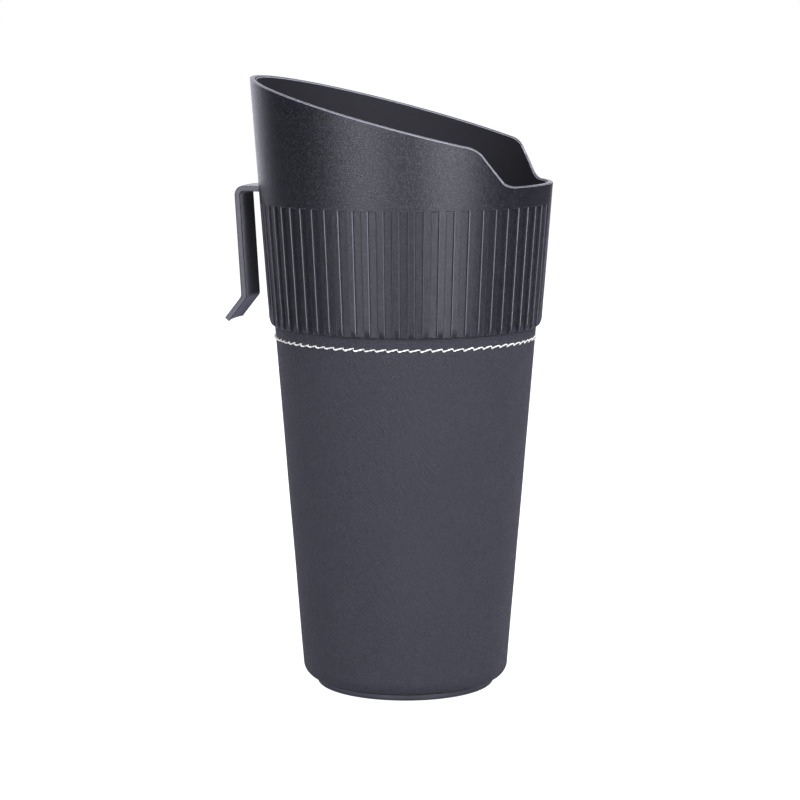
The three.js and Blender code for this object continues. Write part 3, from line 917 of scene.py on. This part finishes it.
corner_centre = body_radius(corner_z) - corner_radius
inner_corner_z = floor_top + inner_corner_radius
cone_top = leather_high.z + (neck_bore - barrel_radius(leather_high.z) + barrel_wall) / body_slope
groove_low = groove_high - seal_width - 2 * seat_gap
groove_floor = neck_radius - seal_groove_depth
soft = 0.2 * mm
barrel = turn_rings(
    "barrel_cup",
    240,
    [
        (0, floor_under),
        (spigot_radius - 3.2 * mm, floor_under),
        (spigot_radius - 3.2 * mm, barrel_low.z + soft),
        (spigot_radius - 3.2 * mm + soft, barrel_low.z),
        *arc((corner_centre, corner_z), [corner_radius - leather_thickness - seat_gap] * 2, -90, 0, 8),
        (barrel_radius(neck_foot), neck_foot),
        (neck_radius - soft, neck_foot),
        (neck_radius, neck_foot + soft),
        (neck_radius, groove_low - soft),
        (neck_radius - soft, groove_low),
        (groove_floor, groove_low),
        (groove_floor, groove_high),
        (neck_radius - soft, groove_high),
        (neck_radius, groove_high + soft),
        (neck_radius, barrel_high.z - neck_lead),
        (neck_radius - neck_lead / 3, barrel_high.z - neck_lead / 4),
        (neck_radius - neck_lead, barrel_high.z),
        (neck_bore + soft, barrel_high.z),
        (neck_bore, barrel_high.z - soft),
        (neck_bore, min(cone_top, barrel_high.z - neck_lead)),
        *arc(
            (barrel_radius(inner_corner_z) - barrel_wall - inner_corner_radius, inner_corner_z),
            [inner_corner_radius] * 2,
            0,
            -90,
            8,
        ),
        (0, floor_top),
    ],
)
boss_radius = 3.2 * mm
for place in base_screw_places:
    cut_with(barrel, add_rod(boss_radius, barrel_low.z, floor_under + 0.2 * mm, place), "UNION")
    cut_with(barrel, add_rod(screw_hole, barrel_low.z - 1 * mm, floor_under - seat_gap, place, 24))
smooth_over(barrel)
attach(barrel, "cup")
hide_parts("barrel")
plastic_finish(barrel, "barrel_plastic", (0.016, 0.016, 0.019), 0.38, 0.008 * mm, edge_highlight=0.2, grain=1400)

# ---- Seal ring ----
# A band of black silicone in the neck's groove, with two soft lips that grip the hood's bore.
seal_low, seal_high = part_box("seal_ring")
seal_thickness = 0.8 * mm
seal_back = seal_high.x - seal_thickness
lip_height = (seal_high.z - seal_low.z) / 2
lip_root = seal_thickness * 0.45


def seal_lip(middle):
    """Half an ellipse of points, for one lip of the band."""
    centre = (seal_back + lip_root, middle)
    return arc(centre, (seal_thickness - lip_root, lip_height / 2), -90, 90, 8)


seal = turn_rings(
    "seal_band",
    240,
    [
        (seal_back, seal_low.z + 0.1 * mm),
        (seal_back + 0.1 * mm, seal_low.z),
        *seal_lip(seal_low.z + lip_height / 2),
        *seal_lip(seal_high.z - lip_height / 2)[1:],
        (seal_back + 0.1 * mm, seal_high.z),
        (seal_back, seal_high.z - 0.1 * mm),
        (seal_back, seal_low.z + 0.1 * mm),
    ],
)
smooth_over(seal)
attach(seal, "seal")
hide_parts("seal_ring")
plastic_finish(seal, "silicone", (0.018, 0.018, 0.02), 0.55, 0.01 * mm, edge_highlight=0.1, grain=3000)

# ---- Leather sleeve ----
# Fine-grained synthetic leather, 1.4 mm thick, glued round the cup with a butt seam at the back. Its
# lower edge is turned in under the cup's bottom corner, where the base cap clamps it, and its upper edge
# is hidden in the hood.
stitch_z = (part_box("hem_thread")[0].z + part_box("hem_thread")[1].z) / 2
stitch_sink = 0.14 * mm
seam_depth = 0.4 * mm
seam_half = 0.35 * mm
cone_step = 4 * mm
leather_columns = 240
bend = corner_radius - leather_thickness
cone_heights = [corner_z + cone_step * i for i in range(1, int((stitch_z - 2 * mm - corner_z) / cone_step))]
stitch_heights = [stitch_z + offset * mm for offset in (-1.6, -1.1, -0.6, 0, 0.6, 1.1, 1.6)]
sunk = [0, stitch_sink * 0.35, stitch_sink * 0.85, stitch_sink, stitch_sink * 0.85, stitch_sink * 0.35, 0]
outside_rings = [
    *arc((corner_centre, corner_z), (corner_radius, corner_radius), -90, 0, 12),
    *[(body_radius(z), z) for z in cone_heights],
    *[(body_radius(z) - sink, z) for z, sink in zip(stitch_heights, sunk)],
    (body_radius(hood_foot), hood_foot),
    (body_radius(hood_foot), leather_high.z - 0.3 * mm),
    (body_radius(hood_foot) - 0.3 * mm, leather_high.z),
]
sleeve = turn_rings(
    "leather_wrap",
    leather_columns,
    [
        (turn_in_radius, leather_low.z + 0.3 * mm),
        (turn_in_radius + 0.3 * mm, leather_low.z),
        *outside_rings,
        (body_radius(leather_high.z) - leather_thickness, leather_high.z),
        *[(body_radius(z) - leather_thickness, z) for z in reversed(cone_heights)],
        *arc((corner_centre, corner_z), (bend, bend), 0, -90, 8),
        (turn_in_radius, leather_low.z + leather_thickness),
        (turn_in_radius, leather_low.z + 0.3 * mm),
    ],
)


def on_leather_face(p):
    """Whether the point is on the side of the leather that shows."""
    middle_radius = body_radius(max(p.z, corner_z)) - leather_thickness * 0.5
    return p.xy.length > middle_radius or p.z < leather_low.z + 0.2 * mm


# The seam: the columns beside the one at the back are drawn up to it, and it is pressed in between them.
column_arc = math.tau / leather_columns
for side in (-1, 1):
    pick_points(
        sleeve,
        lambda p: p.y > 0 and on_leather_face(p) and round(math.atan2(-p.x, p.y) / column_arc) == side,
    )
    draw_up = column_arc - seam_half / body_radius(hood_foot / 2)
    turn_picked(side * draw_up)
pick_points(sleeve, lambda p: p.y > 0 and on_leather_face(p) and abs(p.x) < 1e-6)
bpy.ops.object.mode_set(mode="EDIT")
bpy.ops.transform.translate(value=(0, -seam_depth, 0))
bpy.ops.object.mode_set(mode="OBJECT")

# Stretched by hand, the leather isn't quite even.
unevenness = bpy.data.textures.new("unevenness", "CLOUDS")
unevenness.noise_scale = 0.022
unevenness.noise_depth = 1
swell = sleeve.modifiers.new("swell", "DISPLACE")
swell.texture = unevenness
swell.strength = 0.16 * mm
swell.mid_level = 0.5
bpy.context.view_layer.objects.active = sleeve
bpy.ops.object.modifier_apply(modifier=swell.name)
smooth_over(sleeve, 45)
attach(sleeve, "cup")
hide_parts("leather_sleeve")

# Leather grain: small flat pebbles with fine creases between them, stretched a little up and down.
grain_outputs = ["Height", "Crease"]
leather_grain, taken, given = new_group("leather_grain", {"Place": None, "Pebble": 900}, grain_outputs)
stretched = put(leather_grain, "Mapping", Vector=taken["Place"], Scale=(1, 1, 0.7))
wander = put(leather_grain, "TexNoise", Vector=taken["Place"], Scale=420, Detail=2)
shifted = put(leather_grain, "VectorMath", {"operation": "MULTIPLY_ADD"})
wander_reach = (0.0012, 0.0012, 0.0012)
wandering = (wander.outputs["Color"], wander_reach, stretched.outputs["Vector"])
for socket, value in zip(shifted.inputs, wandering):
    give(leather_grain, socket, value)
pebbles = put(leather_grain, "TexVoronoi", {"feature": "DISTANCE_TO_EDGE"}, Scale=taken["Pebble"])
give(leather_grain, pebbles.inputs["Vector"], shifted.outputs["Vector"])
creases = put(leather_grain, "MapRange", {"interpolation_type": "SMOOTHSTEP"})
give(leather_grain, creases.inputs["Value"], pebbles.outputs["Distance"])
creases.inputs["From Max"].default_value = 0.16
fine = put(leather_grain, "TexNoise", Vector=taken["Place"], Scale=2600, Detail=2).outputs["Fac"]
height = work_out(leather_grain, "MULTIPLY_ADD", fine, 0.35, creases.outputs["Result"])
give(leather_grain, given["Height"], height)
give(leather_grain, given["Crease"], creases.outputs["Result"])

leather_colour = (0.026, 0.026, 0.031)
tree, surface, place = start_material(sleeve, "leather", leather_colour, 0.55)
pores = use_group(tree, leather_grain, Place=place, Pebble=1250)
marks = use_group(tree, hand_marks, Place=place, Size=0.018)
edge = use_group(tree, painted_edge_highlight, Place=place, Amount=0.5)

# Fine wrinkles run down the sleeve, leaning this way and that, because the leather was pulled round the
# cup and not along it.
height_up = put(tree, "SeparateXYZ", Vector=place).outputs["Z"]
slow = put(tree, "TexNoise", Vector=place, Scale=28, Detail=1)
sway = between(tree, slow.outputs["Fac"], -0.3, 0.3)
lean = work_out(tree, "MULTIPLY_ADD", height_up, 5, sway)
leaning = put(tree, "VectorRotate", {"rotation_type": "Z_AXIS"}, Vector=place, Angle=lean)
wrinkle_place = put(tree, "Mapping", Vector=leaning.outputs["Vector"], Scale=(1, 1, 0.22)).outputs["Vector"]
wrinkles = put(tree, "TexNoise", Vector=wrinkle_place, Scale=1100, Detail=2, Roughness=0.5).outputs["Fac"]
toned = blend_colours(tree, marks.outputs["Tone"], shade(leather_colour, 0.93), shade(leather_colour, 1.07))
# The grain's creases are painted darker, as painted shade.
crease_shaded = blend_colours(tree, pores.outputs["Crease"], shade(leather_colour, 0.85), toned)
# Convex edges of the leather are painted lighter, as painted highlights.
highlighted = blend_colours(tree, edge.outputs["Mask"], crease_shaded, shade(leather_colour, 1.8))
give(tree, surface.inputs["Base Color"], highlighted)
give(tree, surface.inputs["Roughness"], between(tree, pores.outputs["Crease"], 0.7, 0.62))
surface.inputs["Specular IOR Level"].default_value = 0.3
surface.inputs["Sheen Weight"].default_value = 0.08
surface.inputs["Sheen Roughness"].default_value = 0.35
relief = work_out(tree, "MULTIPLY_ADD", wrinkles, 2.5, pores.outputs["Height"])
raise_grain(tree, surface, relief, 0.15 * mm)

# ---- Hem stitches ----
# White polyester thread, sewn through the leather just below the hood. Each stitch comes out of its hole
# low, climbs across the leather and goes down into the next hole, so that the row looks like saw teeth.
stitch_count = 76
stitch_radius = body_radius(stitch_z) + 0.12 * mm
stitch_length = math.tau * stitch_radius / stitch_count
thread_radius = 0.31 * mm
stitch_climb = 0.5 * mm
stitch_steps = 16
strand_sides = 10
strand_twist = math.radians(28)


def stitch_path(share):
    """A point of the thread's middle line: along the row, out from the leather, and up."""
    swing = 2 * share - 1
    along = stitch_length * 0.5 * swing * 1.04
    out = thread_radius * (0.75 - 2.1 * swing**6)
    up = stitch_climb * swing * (1 - abs(swing) ** 11)
    return along, out, up


deselect_everything()
start = stitch_path(0)
across = (0, math.pi / 2, 0)
bpy.ops.mesh.primitive_circle_add(vertices=strand_sides, radius=1, fill_type="NGON", rotation=across)
stitch = bpy.context.object
stitch.scale = (thread_radius * 0.62, thread_radius, thread_radius * 0.72)
settle()
bpy.ops.object.mode_set(mode="EDIT")
bpy.ops.mesh.select_all(action="SELECT")
bpy.ops.transform.translate(value=start)
for i in range(1, stitch_steps + 1):
    here = stitch_path(i / stitch_steps)
    move = [b - a for a, b in zip(start, here)]
    pull_out(move)
    bpy.ops.transform.rotate(value=strand_twist, orient_axis="X", center_override=here)
    start = here
end_editing()

# The machine's pitch holds, but the thread lies a little higher or steeper from one stitch to the next.
draw = random.Random(7)
row = []
for i in range(stitch_count):
    copy = copy_of(stitch)
    around = math.tau * (i + 0.5) / stitch_count
    lift = draw.uniform(-0.06, 0.06) * mm
    tilt = draw.uniform(-0.035, 0.035)
    copy.location = (-stitch_radius * math.sin(around), stitch_radius * math.cos(around), stitch_z + lift)
    copy.rotation_euler = (-math.atan(body_slope), tilt, around + math.pi)
    copy.scale = (1, 1, draw.uniform(0.85, 1.15))
    row.append(copy)
deselect_everything()
for copy in row:
    copy.select_set(True)
bpy.context.view_layer.objects.active = row[0]
bpy.ops.object.join()
bpy.data.objects.remove(stitch)
stitches = bpy.context.object
stitches.name = stitches.data.name = "hem_stitches"
settle()
smooth_over(stitches, 60)
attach(stitches, "cup")
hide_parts("hem_thread")

thread_colour = (0.8, 0.8, 0.7)
tree, surface, place = start_material(stitches, "thread", thread_colour, 0.75)
surface.inputs["Sheen Weight"].default_value = 0.08
surface.inputs["Sheen Roughness"].default_value = 0.4
fibres = put(tree, "TexNoise", Vector=place, Scale=7000, Detail=2)
soil = use_group(tree, hand_marks, Place=place, Size=0.012)
clean = blend_colours(tree, soil.outputs["Tone"], shade(thread_colour, 0.9), thread_colour)
fuzzy = blend_colours(tree, fibres.outputs["Fac"], shade(thread_colour, 0.7), clean)
give(tree, surface.inputs["Base Color"], fuzzy)
raise_grain(tree, surface, fibres.outputs["Fac"], 0.03 * mm, strength=0.8)

# ---- Base cap ----
# A moulded black cap that closes the cup's bottom. Its rim clamps the leather's turned-in edge, and its
# underside has a recess for the foot pad, with three counterbores for the screws.
cap_low, cap_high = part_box("base_cap")
cap_radius = cap_high.x
cap_shelf = cap_low.z + 2.3 * mm
cap_round = 1 * mm
pad_low, pad_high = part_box("foot_pad")
pad_radius = pad_high.x
recess_z = pad_high.z + seat_gap
cap = turn_rings(
    "bottom_cap",
    240,
    [
        (0, recess_z),
        (pad_radius + seat_gap - soft, recess_z),
        (pad_radius + seat_gap, recess_z - soft),
        (pad_radius + seat_gap, cap_low.z + soft),
        (pad_radius + seat_gap + soft, cap_low.z),
        *arc((cap_radius - cap_round, cap_low.z + cap_round), (cap_round, cap_round), -90, 0, 8),
        (cap_radius, cap_shelf - soft),
        (cap_radius - soft, cap_shelf),
        (spigot_radius, cap_shelf),
        (spigot_radius, cap_high.z - soft),
        (spigot_radius - soft, cap_high.z),
        (0, cap_high.z),
    ],
)
counterbore = screw_head_radius + seat_gap
for place in base_screw_places:
    cut_with(cap, add_rod(counterbore, recess_z - 1 * mm, base_seat_z + seat_gap, place, 32))
    cut_with(cap, add_rod(screw_hole, recess_z - 1 * mm, cap_high.z + 1 * mm, place, 32))
smooth_over(cap)
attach(cap, "cup")
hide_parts("base_cap")
plastic_finish(cap, "cap_plastic", (0.03, 0.03, 0.035), 0.35, 0.01 * mm, edge_highlight=0.4, grain=1800)

# ---- Foot pad ----
# A disc of non-slip rubber pressed into the cap's recess, over the screws, with ring-shaped grooves in
# its underside.
pad_groove_depth = 0.35 * mm
pad_groove_width = 0.9 * mm
pad_round = 0.3 * mm
pad_grooves = []
for share in (0.32, 0.56, 0.8):
    middle = pad_radius * share
    half = pad_groove_width / 2
    pad_grooves += [
        (middle - half - 0.1 * mm, pad_low.z),
        (middle - half, pad_low.z + 0.1 * mm),
        (middle - half + 0.1 * mm, pad_low.z + pad_groove_depth),
        (middle + half - 0.1 * mm, pad_low.z + pad_groove_depth),
        (middle + half, pad_low.z + 0.1 * mm),
        (middle + half + 0.1 * mm, pad_low.z),
    ]
pad = turn_rings(
    "rubber_foot",
    240,
    [
        (0, pad_low.z),
        *pad_grooves,
        *arc((pad_radius - pad_round, pad_low.z + pad_round), (pad_round, pad_round), -90, 0, 4),
        (pad_radius, pad_high.z - soft),
        (pad_radius - soft, pad_high.z),
        (0, pad_high.z),
    ],
)
smooth_over(pad)
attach(pad, "cup")
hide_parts("foot_pad")
plastic_finish(pad, "rubber", (0.014, 0.014, 0.015), 0.75, 0.02 * mm, edge_highlight=0.25, grain=1600)
